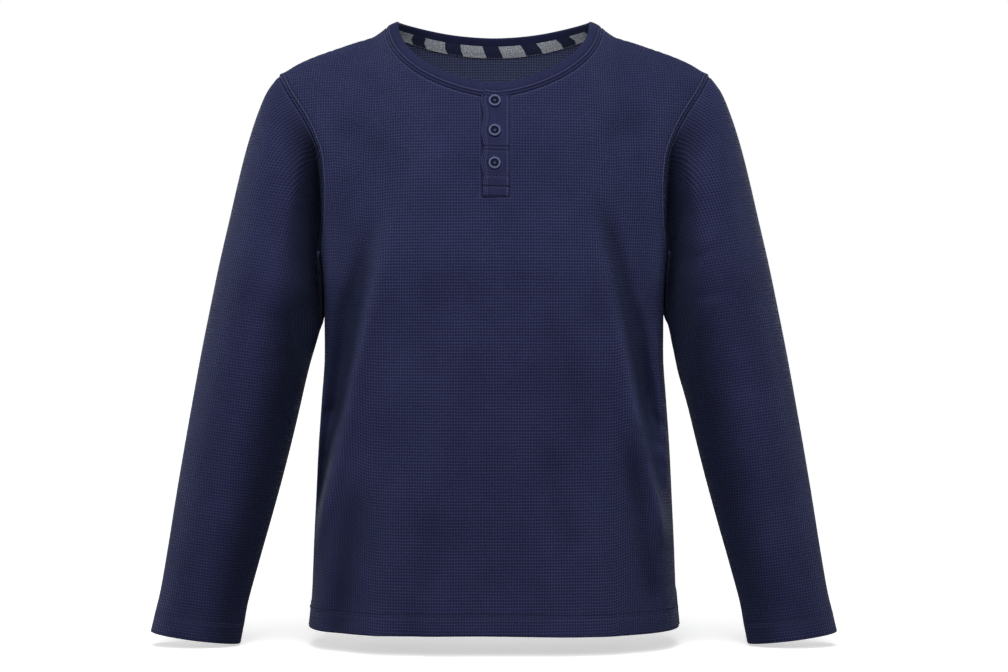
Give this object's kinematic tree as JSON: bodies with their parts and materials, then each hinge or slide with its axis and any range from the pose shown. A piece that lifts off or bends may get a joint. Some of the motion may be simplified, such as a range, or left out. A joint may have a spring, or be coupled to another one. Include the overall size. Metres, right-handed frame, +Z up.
{
  "type": "long-sleeved henley pyjama top",
  "caption": "Waffle-knit thermal pyjama top with a round neckband, a short buttoned front opening and long sleeves, held in its hollow worn form.",
  "frame": {"origin": "in the middle between the shoulders, level with the highest points of the neckband and in the plane of the side seams, where the wearer's shoulders carry the garment", "axes": "+X to the wearer's left, +Y to the back of the garment, +Z up along the body"},
  "size_m": [0.715, 0.2357, 0.6495],
  "materials": {
    "waffle_knit": "navy cotton waffle knit, matt",
    "band_jersey": "navy fine jersey, matt",
    "neck_tape": "navy woven tape with grey melange blocks",
    "button_plastic": "navy polyester, satin"
  },
  "bodies": {
    "root": {"front_panel": "waffle_knit", "back_panel": "waffle_knit", "sleeve_left": "waffle_knit", "sleeve_right": "waffle_knit", "neckband": "band_jersey", "neck_tape": "neck_tape", "placket_over": "band_jersey", "placket_under": "band_jersey", "button_1": "button_plastic", "button_2": "button_plastic", "button_3": "button_plastic"}
  },
  "joints": []
}
